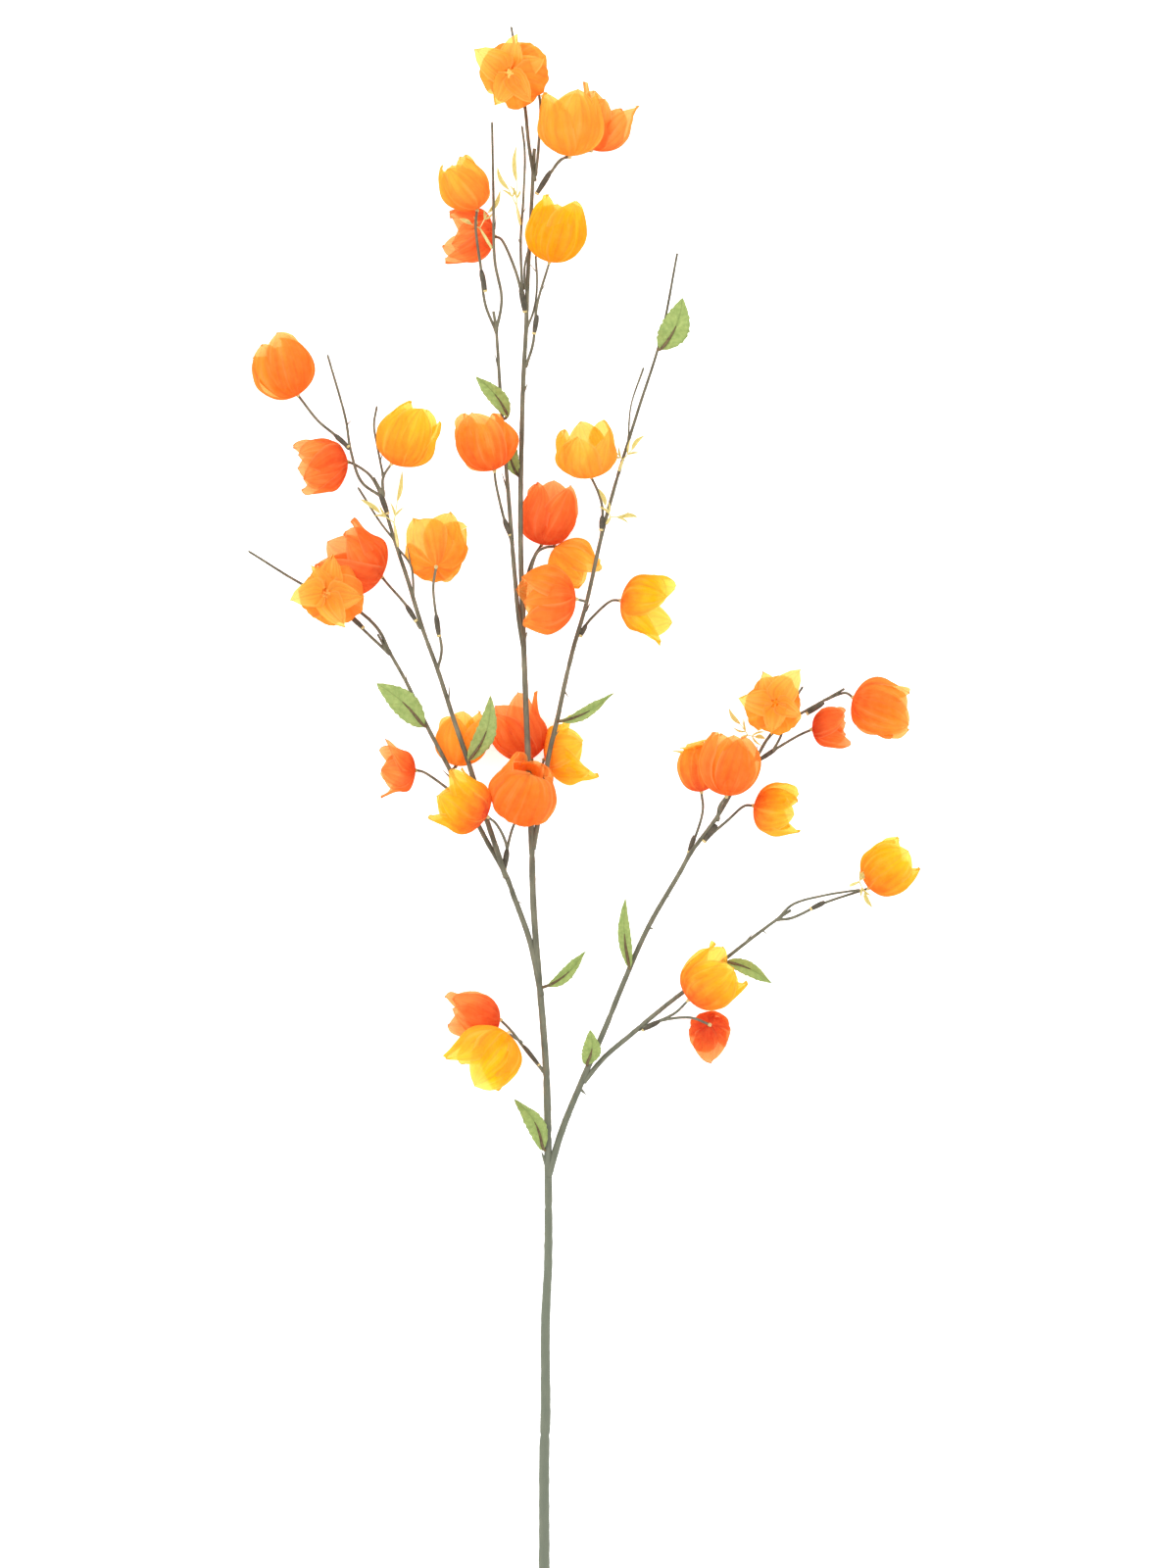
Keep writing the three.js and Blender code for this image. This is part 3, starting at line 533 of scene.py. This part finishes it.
def build_husk(name, neck):
    """Five thin cupped petals, each lapped over the next. Returns the way the husk points."""
    openness, blush, green, *flick = HUSK_LOOKS[name]
    flick = flick[0] if flick else 0.0
    dice = random.Random(name)
    aim, length, radius = read_husk(name, neck)
    side = aim.orthogonal().normalized()
    other = aim.cross(side)
    roll = dice.uniform(0, math.tau)
    swirl = dice.choice((-1, 1)) * dice.uniform(0.1, 0.5)  # the petals wrap round one way
    verts, faces, uvs, tints = [], [], [], []
    for petal in range(LOBES):
        first = len(verts)
        heading = roll + (petal + dice.uniform(-0.28, 0.28)) / LOBES * math.tau
        inner = petal % 2  # every other petal lies a little further in
        opening = openness * dice.uniform(0.4, 1.5)
        closing = math.radians(GATHERED - SPREAD * opening if openness else SHUT)
        arc_end = FLICKED_ARC if flick > FLICK_FROM else 1.0
        crease = dice.uniform(-0.6, 0.6)
        tip_curl = dice.uniform(0.0, 0.3) + 0.2 * opening + flick * 1.6
        lean = swirl + dice.uniform(-0.2, 0.2)
        breadth = dice.uniform(0.94, 1.2)
        stretch = dice.uniform(0.86, 1.07)
        puff = dice.uniform(0.91, 1.02) - 0.05 * inner
        pleat = dice.uniform(0, 9)
        chance = dice.random() ** 1.4
        fullness = dice.uniform(0.95, 1.3)
        for row in range(PETAL_ROWS + 1):
            u = row / PETAL_ROWS
            # an arc that leaves the neck, bulges, and gathers in again above
            sweep = math.pi / 2 - NECK_ANGLE + closing
            bend = -math.pi / 2 + NECK_ANGLE + min(1.0, u / arc_end) * sweep
            profile = max(math.cos(bend), 0.0) ** 0.9
            high = (1 + math.sin(bend)) / 1.96
            mouth = max(0.0, (u - MOUTH_START) / (1 - MOUTH_START))
            profile += tip_curl * mouth**1.5
            high += (0.03 + 0.1 * opening) * mouth
            # an egg-shaped outline that draws out to a soft point
            width = math.sin(math.pi * min(1.0, 0.03 + u**fullness * 0.97)) ** 0.6
            width *= 1 - 0.3 * max(0.0, (u - 0.75) / 0.25) ** 2
            width = width * breadth + 0.02 * (1 - u)
            half = min(width / max(profile, 0.12), 1.45)
            for column in range(PETAL_COLUMNS + 1):
                v = column / PETAL_COLUMNS * 2 - 1
                turn = heading + v * half + lean * u * u
                body = math.sin(math.pi * min(1.0, u * 1.1))
                cup = (0.13 * (1 - v * v) + 0.05 * math.exp(-((v / 0.1) ** 2))) * body
                ribs = 0.018 * math.cos(v * 11 + pleat) * body
                ribs -= 0.075 * math.exp(-(((v - crease - 0.15 * u) / 0.1) ** 2)) * body
                lap = 0.085 * v * math.sin(math.pi * min(1, 0.1 + u * 1.1))
                soft = Vector((u * 2.6 + pleat, v * 1.7, petal * 3.1 + blush))
                wave = noise.noise(soft) * (0.06 + 0.15 * u)
                rim = noise.noise(Vector((u * 9, v * 4 + pleat, pleat))) * 0.05 * v * v * u
                out = radius * puff * (profile + cup + ribs + lap + wave + rim - 0.09)
                up = length * stretch * high + noise.noise(soft + Vector((7, 3, 1))) * 0.05 * radius * u
                spot = neck + aim * (up + 0.4 * MM)
                spot += (side * math.cos(turn) + other * math.sin(turn)) * max(out, 0.6 * MM)
                spot.z = max(spot.z, TABLE + CLEARANCE)
                verts.append(spot)
                uvs.append((u, v * 0.5 + 0.5))
                tints.append((blush, green, chance, 1))
        for row in range(PETAL_ROWS):
            for column in range(PETAL_COLUMNS):
                low = first + row * (PETAL_COLUMNS + 1) + column
                high_row = low + PETAL_COLUMNS + 1
                faces.append((low, low + 1, high_row + 1, high_row))
    slot = next(
        p["material_slot"] for p in frame["record"]["subparts"] if p["node"] == name
    )
    pin(f"{name}_petals", verts, faces, CLOTH[slot], [name], slot, uvs, tints)
    return aim


def build_knobs(knobs):
    """The small frayed knob at each husk's neck, where the petals are gathered on the stalk."""
    wood = ([], [])
    for neck, aim in knobs:
        line = smooth_route([neck - aim * 1.6 * MM, neck + aim * 1.8 * MM], 0.6 * MM)
        add_rod(wood, line, [0.8, 1.3, 1.5, 1.0], 10, rough=0.25)
    pin("husk_knobs", *wood, CUFF, [], "bark")


# ------------------------------------------------------------------ leaves and sprigs
def add_blade(build, base, tip, width, arch, seed, fold=0.25, twist=0.0, teeth=0.0):
    """Adds a pointed leaf blade to build: folded along its middle, waved at its edges."""
    verts, faces, uvs = build
    dice = random.Random(seed)
    span = tip - base
    ahead = span.normalized()
    side = ahead.cross(Vector((0, 0, 1)))
    side = side.normalized() if side.length > 0.1 else ahead.orthogonal().normalized()
    lift = side.cross(ahead)
    rows, columns = BLADE_ROWS, BLADE_COLUMNS
    first = len(verts)
    midline = []
    sway = dice.choice((-1, 1)) * dice.uniform(0.04, 0.12)
    phase = dice.uniform(0, 6)
    for row in range(rows + 1):
        t = row / rows
        half = width / 2 * (math.sin(math.pi * min(1, t**0.8)) ** 0.85 * 0.94 + 0.05 * (1 - t))
        half *= 1 + teeth * (abs((t * 9 + phase) % 1 - 0.5) - 0.25)
        turn = twist * (t - 0.4)
        across_dir = side * math.cos(turn) + lift * math.sin(turn)
        over = lift * math.cos(turn) - side * math.sin(turn)
        bow = math.sin(math.pi * t)
        centre = base + span * t + lift * arch * bow + side * span.length * sway * bow
        midline.append(centre)
        for column in range(columns + 1):
            v = column / columns * 2 - 1
            rise = fold * abs(v) * half
            rise += 0.2 * half * math.sin(t * 17 + phase + (2 if v > 0 else 0)) * abs(v)
            spot = centre + across_dir * v * half + over * rise
            spot.z = max(spot.z, TABLE + CLEARANCE)
            verts.append(spot)
            uvs.append((t, v * 0.5 + 0.5))
    for row in range(rows):
        for column in range(columns):
            low = first + row * (columns + 1) + column
            faces.append((low, low + 1, low + columns + 2, low + columns + 1))
    return midline


def nearest_on_branches(point):
    """The point of all branch routes that is nearest to the given one."""
    best = None
    for plan in BRANCHES.values():
        for spot in smooth_route(lay(plan["route"]), 2 * MM):
            if best is None or (spot - point).length < (best - point).length:
                best = spot
    return best


# name: how far the blade folds along its middle, and how far it twists
LEAF_LOOKS = {
    "leaf_top": (0.15, 0.1),
    "leaf_middle_upper": (0.9, 0.7),
    "leaf_middle_lower": (0.6, -0.4),
    "leaf_outer_left": (0.25, 0.2),
    "leaf_inner_left": (0.2, -0.2),
    "leaf_curled": (0.8, 1.6),
    "leaf_right": (0.5, 0.5),
    "leaf_lower_right": (0.7, -0.9),
    "leaf_fork": (0.3, 0.3),
    "leaf_narrow": (0.9, 1.2),
    "leaf_low": (0.5, 0.8),
}


def build_leaf(name, plan):
    base, tip, width, arch = plan
    fold, twist = LEAF_LOOKS[name]
    a, b = place(base), place(tip)
    blade = ([], [], [])
    midline = add_blade(blade, a, b, width * 1.1 * MM, arch * MM, name, fold, twist, teeth=0.3)
    leaf = pin(name + "_blade", blade[0], blade[1], LEAF, [name], "leaf", blade[2])
    thicken(leaf, 0.25 * MM)
    # a dark stalk joins the leaf to its branch and runs on as its midrib
    up = Vector((0, 0, 0.5 * MM))
    root = nearest_on_branches(a)
    line = [root, root.lerp(a, 0.6), *(p + up for p in midline[2:12:3])]
    stalk = ([], [])
    add_rod(stalk, smooth_route(line, 1.2 * MM), [1.1, 1.2, 1.1, 0.8, 0.3], 10, rough=0.15)
    pin(name + "_stalk", *stalk, SHEATH, [], "leaf")


def thicken(piece, depth):
    skin = piece.modifiers.new("skin", "SOLIDIFY")
    skin.thickness = depth
    skin.offset = 0.0


def build_sprig(name, plan):
    root, fork, width, tips = plan
    dice = random.Random(name)
    a, b = place(root), place(fork)
    wire = ([], [])
    blades = ([], [], [])
    for number, tip in enumerate(tips):
        end = place(tip)
        reach = end - b
        add_blade(blades, b + reach * 0.4, end, width * 0.85 * MM, 0.8 * MM, f"{name}{number}", 0.5, 0.5)
        line = smooth_route([b, b + reach * 0.2 + Vector((0, 0, 0.6 * MM)), b + reach * 0.45], 1.0 * MM)
        add_rod(wire, line, [0.45, 0.3], 8, rough=0.1)
        # two small leaves beside each long one
        for hand in (-1, 1):
            spread = Vector((-reach.y, reach.x, 0)).normalized() * hand
            start = b + reach * (0.12 + 0.1 * number)
            out = start + reach.normalized() * dice.uniform(6, 10) * MM + spread * dice.uniform(3, 6) * MM
            add_blade(blades, start, out, width * 0.4 * MM, 0.5 * MM, f"{name}{number}{hand}", 0.5, 0.3)
    add_rod(wire, smooth_route([a, b], 1.0 * MM), [0.9, 1.2, 1.1, 0.5], 8, rough=0.1)
    pin(name + "_wire", *wire, PALE, [name], "sprig")
    thicken(pin(name + "_leaves", blades[0], blades[1], PALE_LEAF, [], "sprig", blades[2]), 0.2 * MM)


# ------------------------------------------------------------------ materials
def srgb(red, green, blue):
    def linear(value):
        value /= 255
        return value / 12.92 if value <= 0.04045 else ((value + 0.055) / 1.055) ** 2.4

    return (linear(red), linear(green), linear(blue), 1.0)


class Graph:
    """A small helper to write a material's nodes line by line."""

    def __init__(self, name):
        self.material = bpy.data.materials.new(name)
        self.material.use_nodes = True
        self.tree = self.material.node_tree
        self.tree.nodes.clear()
        self.output = self.tree.nodes.new("ShaderNodeOutputMaterial")

    def node(self, kind, inputs=None, **settings):
        made = self.tree.nodes.new(kind)
        for key, value in settings.items():
            setattr(made, key, value)
        for key, value in (inputs or {}).items():
            self.feed(made.inputs[key], value)
        return made

    def feed(self, socket, value):
        if isinstance(value, bpy.types.NodeSocket):
            self.tree.links.new(value, socket)
        else:
            socket.default_value = value

    def math(self, operation, *values, clamp=False):
        made = self.node("ShaderNodeMath", operation=operation, use_clamp=clamp)
        for index, value in enumerate(values):
            self.feed(made.inputs[index], value)
        return made.outputs[0]

    def mix(self, share, first, second):
        made = self.node("ShaderNodeMix", data_type="RGBA")
        self.feed(made.inputs[0], share)
        self.feed(made.inputs[6], first)
        self.feed(made.inputs[7], second)
        return made.outputs[2]

    def ramp(self, value, low, high):
        made = self.node("ShaderNodeMapRange", {"Value": value, "From Min": low, "From Max": high})
        return made.outputs[0]

    def grain(self, scale, detail=3.0, stretch=(1, 1, 1), roughness=0.6):
        where = self.node("ShaderNodeTexCoord").outputs["Object"]
        squeezed = self.node("ShaderNodeMapping", {"Vector": where, "Scale": stretch})
        made = self.node(
            "ShaderNodeTexNoise",
            {"Vector": squeezed.outputs[0], "Scale": scale, "Detail": detail, "Roughness": roughness},
        )
        return made.outputs["Fac"]

    def along_across(self):
        uv = self.node("ShaderNodeUVMap", uv_map="along_across")
        parts = self.node("ShaderNodeSeparateXYZ", {"Vector": uv.outputs[0]})
        return parts.outputs[0], parts.outputs[1]


def make_cloth(name, body, edge, base):
    """Thin ribbed cloth: paler and clearer at a petal's rim, where the paleness is painted light through the
    single layer, with bands of painted shade and painted highlight along its folds, and redder at the neck.
    """
    g = Graph(name)
    u, v = g.along_across()
    tint = g.node("ShaderNodeVertexColor", layer_name="tint")
    split = g.node("ShaderNodeSeparateColor", {"Color": tint.outputs[0]})
    blush, green, chance = split.outputs[0], split.outputs[1], split.outputs[2]
    mottle = g.grain(140.0, 4.0)
    # the rim and the tip of a petal are paler, and so are some petals all over: painted light shining through
    # a single layer of cloth, where the other petals look darker as if under a second layer
    side = g.math("ABSOLUTE", g.math("SUBTRACT", g.math("MULTIPLY", v, 2.0), 1.0))
    rim = g.math("POWER", side, 4.0)
    rim = g.math("MAXIMUM", g.math("MULTIPLY", rim, g.ramp(u, 0.1, 0.5)), g.ramp(u, 0.82, 1.0))
    rim = g.math("MAXIMUM", rim, g.math("MULTIPLY", chance, 0.5))
    colour = g.mix(g.math("MULTIPLY", rim, 0.62), body, edge)
    # redness fades out from the neck, with an uneven border
    border = g.math("ADD", u, g.math("MULTIPLY", g.math("SUBTRACT", mottle, 0.5), 0.25))
    red = g.ramp(border, 0.7, 0.16)
    colour = g.mix(g.math("MULTIPLY", red, blush), colour, base)
    # some petals are greenish towards the tip
    tip = g.math("MULTIPLY", g.ramp(border, 0.55, 1.0), g.math("MULTIPLY", green, chance))
    colour = g.mix(g.math("MULTIPLY", tip, 0.75), colour, srgb(196, 176, 62))
    # darker and paler bands run from the neck to the tip, each petal's its own: painted shade and painted
    # highlight of the petal's folds
    slant = g.math("ADD", g.math("MULTIPLY", v, 9.0), g.math("MULTIPLY", chance, 30.0))
    where = g.node("ShaderNodeCombineXYZ", {"X": slant, "Y": g.math("MULTIPLY", u, 1.3)})
    painted_fold_light = g.node("ShaderNodeTexNoise", {"Vector": where.outputs[0], "Scale": 1.0, "Detail": 3.0})
    colour = g.mix(g.math("MULTIPLY", g.ramp(painted_fold_light.outputs["Fac"], 0.5, 0.32), 0.28), colour, base)
    colour = g.mix(g.math("MULTIPLY", g.ramp(painted_fold_light.outputs["Fac"], 0.54, 0.7), 0.5), colour, edge)
    # the very border is a crisp paler line
    border_line = g.math("MULTIPLY", g.ramp(side, 0.92, 0.97), g.ramp(u, 0.15, 0.4))
    colour = g.mix(g.math("MULTIPLY", border_line, 0.6), colour, edge)
    # fine veins run from the neck to the tip
    veins = g.node("ShaderNodeTexWave", {"Scale": 1.0, "Distortion": 2.6}, wave_type="BANDS")
    across_petal = g.math("MULTIPLY", v, 2.2)
    along_petal = g.math("MULTIPLY", u, 0.35)
    lines = g.node("ShaderNodeCombineXYZ", {"X": across_petal, "Y": along_petal})
    g.feed(veins.inputs["Vector"], lines.outputs[0])
    line = g.math("POWER", veins.outputs["Fac"], 7.0)
    colour = g.mix(g.math("MULTIPLY", line, 0.16), colour, base)
    weave = g.grain(2600.0, 2.0)
    colour = g.mix(g.math("MULTIPLY", g.ramp(mottle, 0.35, 0.75), 0.22), colour, edge)
    height = g.math("ADD", g.math("MULTIPLY", line, 0.5), g.math("MULTIPLY", weave, 0.35))
    bump = g.node("ShaderNodeBump", {"Height": height, "Strength": 0.5, "Distance": 0.0006})
    front = g.node("ShaderNodeBsdfDiffuse", {"Color": colour, "Roughness": 0.6, "Normal": bump.outputs[0]})
    through = g.node("ShaderNodeBsdfTranslucent", {"Color": colour, "Normal": bump.outputs[0]})
    clear = g.node("ShaderNodeBsdfTransparent", {"Color": edge})
    cloth = g.node("ShaderNodeMixShader", {"Fac": 0.55})
    g.feed(cloth.inputs[1], front.outputs[0])
    g.feed(cloth.inputs[2], through.outputs[0])
    sheer = g.node("ShaderNodeMixShader")
    clearness = g.math("ADD", CLOTH_CLEAR, g.math("MULTIPLY", rim, RIM_CLEAR))
    clearness = g.math("ADD", clearness, g.math("MULTIPLY", weave, 0.1))
    g.feed(sheer.inputs[0], clearness)
    g.feed(sheer.inputs[1], cloth.outputs[0])
    g.feed(sheer.inputs[2], clear.outputs[0])
    g.feed(g.output.inputs[0], sheer.outputs[0])
    return g.material


def make_solid(name, dark, light, roughness, scale, stretch, low_colour=None, relief=0.5):
    g = Graph(name)
    grain = g.grain(scale, 5.0, stretch)
    colour = g.mix(g.ramp(grain, 0.32, 0.68), dark, light)
    if low_colour:
        where = g.node("ShaderNodeTexCoord").outputs["Object"]
        y = g.node("ShaderNodeSeparateXYZ", {"Vector": where}).outputs[1]
        low = g.ramp(y, SHIFT.y + 0.62, SHIFT.y + 0.22)
        colour = g.mix(g.math("MULTIPLY", low, 0.8), colour, low_colour)
    fine = g.grain(2200.0, 3.0)
    height = g.math("ADD", grain, g.math("MULTIPLY", fine, 0.3))
    bump = g.node("ShaderNodeBump", {"Height": height, "Strength": relief, "Distance": 0.0005})
    shader = g.node(
        "ShaderNodeBsdfPrincipled",
        {"Base Color": colour, "Roughness": roughness, "Normal": bump.outputs[0]},
    )
    g.feed(g.output.inputs[0], shader.outputs[0])
    return g.material


def make_leaf(name, body, vein, shade, clearness):
    g = Graph(name)
    u, v = g.along_across()
    blotch = g.grain(330.0, 4.0)
    colour = g.mix(g.ramp(blotch, 0.3, 0.7), body, shade)
    across = g.math("ABSOLUTE", g.math("SUBTRACT", g.math("MULTIPLY", v, 2.0), 1.0))
    midrib = g.ramp(across, 0.09, 0.02)
    slant = g.math("SUBTRACT", g.math("MULTIPLY", u, 9.0), g.math("MULTIPLY", across, 1.8))
    side_veins = g.math("PINGPONG", slant, 0.5)
    side_veins = g.ramp(side_veins, 0.07, 0.0)
    lines = g.math("MAXIMUM", midrib, g.math("MULTIPLY", side_veins, 0.5), clamp=True)
    colour = g.mix(g.math("MULTIPLY", lines, 0.55), colour, vein)
    height = g.math("SUBTRACT", g.math("MULTIPLY", blotch, 0.5), lines)
    bump = g.node("ShaderNodeBump", {"Height": height, "Strength": 0.5, "Distance": 0.0004})
    front = g.node("ShaderNodeBsdfDiffuse", {"Color": colour, "Roughness": 0.5, "Normal": bump.outputs[0]})
    through = g.node("ShaderNodeBsdfTranslucent", {"Color": colour, "Normal": bump.outputs[0]})
    blend = g.node("ShaderNodeMixShader", {"Fac": clearness})
    g.feed(blend.inputs[1], front.outputs[0])
    g.feed(blend.inputs[2], through.outputs[0])
    g.feed(g.output.inputs[0], blend.outputs[0])
    return g.material


BARK = make_solid(
    "bark", srgb(74, 69, 53), srgb(122, 116, 94), 0.75, 240.0, (1, 0.25, 1), srgb(106, 114, 98)
)
SLEEVE = make_solid("sleeve", srgb(58, 53, 42), srgb(90, 84, 68), 0.7, 300.0, (1, 1, 1))
SHEATH = make_solid("sheath", srgb(84, 62, 44), srgb(118, 104, 66), 0.7, 300.0, (1, 1, 1))
CUFF = make_solid("cuff", srgb(178, 158, 98), srgb(226, 208, 150), 0.8, 600.0, (1, 1, 1))
PALE = make_solid("pale_wire", srgb(196, 186, 110), srgb(226, 218, 150), 0.7, 400.0, (1, 1, 1))
LEAF = make_leaf("leaf_cloth", srgb(192, 206, 136), srgb(146, 160, 100), srgb(162, 182, 112), 0.35)
PALE_LEAF = make_leaf(
    "pale_leaf", srgb(226, 214, 136), srgb(196, 184, 104), srgb(236, 226, 164), 0.4
)
CLOTH = {
    "yellow_husk": make_cloth(
        "yellow_cloth", srgb(255, 200, 24), srgb(254, 226, 120), srgb(232, 100, 70)
    ),
    "amber_husk": make_cloth(
        "amber_cloth", srgb(250, 192, 66), srgb(254, 218, 126), srgb(234, 108, 72)
    ),
    "orange_husk": make_cloth(
        "orange_cloth", srgb(250, 162, 56), srgb(254, 204, 128), srgb(228, 90, 58)
    ),
    "vermilion_husk": make_cloth(
        "vermilion_cloth", srgb(242, 142, 60), srgb(252, 186, 122), srgb(218, 78, 54)
    ),
}

# ------------------------------------------------------------------ the spray
knobs = []
for branch_name, branch_plan in BRANCHES.items():
    build_branch(branch_name, branch_plan)
    for husk_name, (_, _, stalk) in branch_plan["stalks"].items():
        end = place(stalk[-1])
        knobs.append((end, build_husk(husk_name, end)))
build_knobs(knobs)
for leaf_name, leaf_plan in LEAVES.items():
    build_leaf(leaf_name, leaf_plan)
for sprig_name, sprig_plan in SPRIGS.items():
    build_sprig(sprig_name, sprig_plan)

# ------------------------------------------------------------------ floor, light, camera
mid = (cad_low + cad_high) / 2
floor_mesh = bpy.data.meshes.new("floor")
FLOOR = 4.0
floor_mesh.from_pydata(
    [(-FLOOR, -FLOOR, 0), (FLOOR, -FLOOR, 0), (FLOOR, FLOOR, 0), (-FLOOR, FLOOR, 0)], [], [(0, 1, 2, 3)]
)
floor = bpy.data.objects.new("floor", floor_mesh)
bpy.context.scene.collection.objects.link(floor)
paper = Graph("floor_paper")
paper_shader = paper.node("ShaderNodeBsdfDiffuse", {"Color": (0.95, 0.95, 0.95, 1)})
paper_glow = paper.node("ShaderNodeEmission", {"Color": (1, 1, 1, 1), "Strength": PAPER_GLOW})
paper_sum = paper.node("ShaderNodeAddShader")
paper.feed(paper_sum.inputs[0], paper_shader.outputs[0])
paper.feed(paper_sum.inputs[1], paper_glow.outputs[0])
paper.feed(paper.output.inputs[0], paper_sum.outputs[0])
floor_mesh.materials.append(paper.material)

world = bpy.data.worlds.new("studio")
world.use_nodes = True
world.node_tree.nodes["Background"].inputs[0].default_value = (1, 1, 1, 1)
world.node_tree.nodes["Background"].inputs[1].default_value = SKY
bpy.context.scene.world = world


def soft_light(name, where, size, power):
    data = bpy.data.lights.new(name, "AREA")
    data.shape = "DISK"
    data.size = size
    data.energy = power
    lamp = bpy.data.objects.new(name, data)
    lamp.location = where
    lamp.rotation_euler = (mid - lamp.location).to_track_quat("-Z", "Y").to_euler()
    bpy.context.scene.collection.objects.link(lamp)


soft_light("key", Vector((-1.3, 1.4, 2.0)), 0.9, 26)
soft_light("fill", Vector((1.4, -0.8, 2.2)), 2.0, 8)

VIEW_HEIGHT = 1.152  # metres of spray from the view's lower edge to its upper edge
VIEW_RIGHT = 0.0324  # from the stem's foot to the middle of the view
VIEW_LIFT = 0.04  # height above the table at which the view is that tall
CAMERA_DISTANCE = 6.0
camera_data = bpy.data.cameras.new("camera")
camera_data.sensor_width = SENSOR
camera_data.lens = SENSOR * CAMERA_DISTANCE / VIEW_HEIGHT
camera = bpy.data.objects.new("camera", camera_data)
# the view starts 17 mm up the stem, and its middle lies to the right of the stem's foot
camera.location = (SHIFT.x + VIEW_RIGHT, SHIFT.y + VIEW_HEIGHT / 2, CAMERA_DISTANCE + VIEW_LIFT)
camera.rotation_euler = (0, 0, 0)
bpy.context.scene.collection.objects.link(camera)
bpy.context.scene.camera = camera
bpy.context.scene.view_settings.view_transform = "Standard"

bpy.context.view_layer.update()
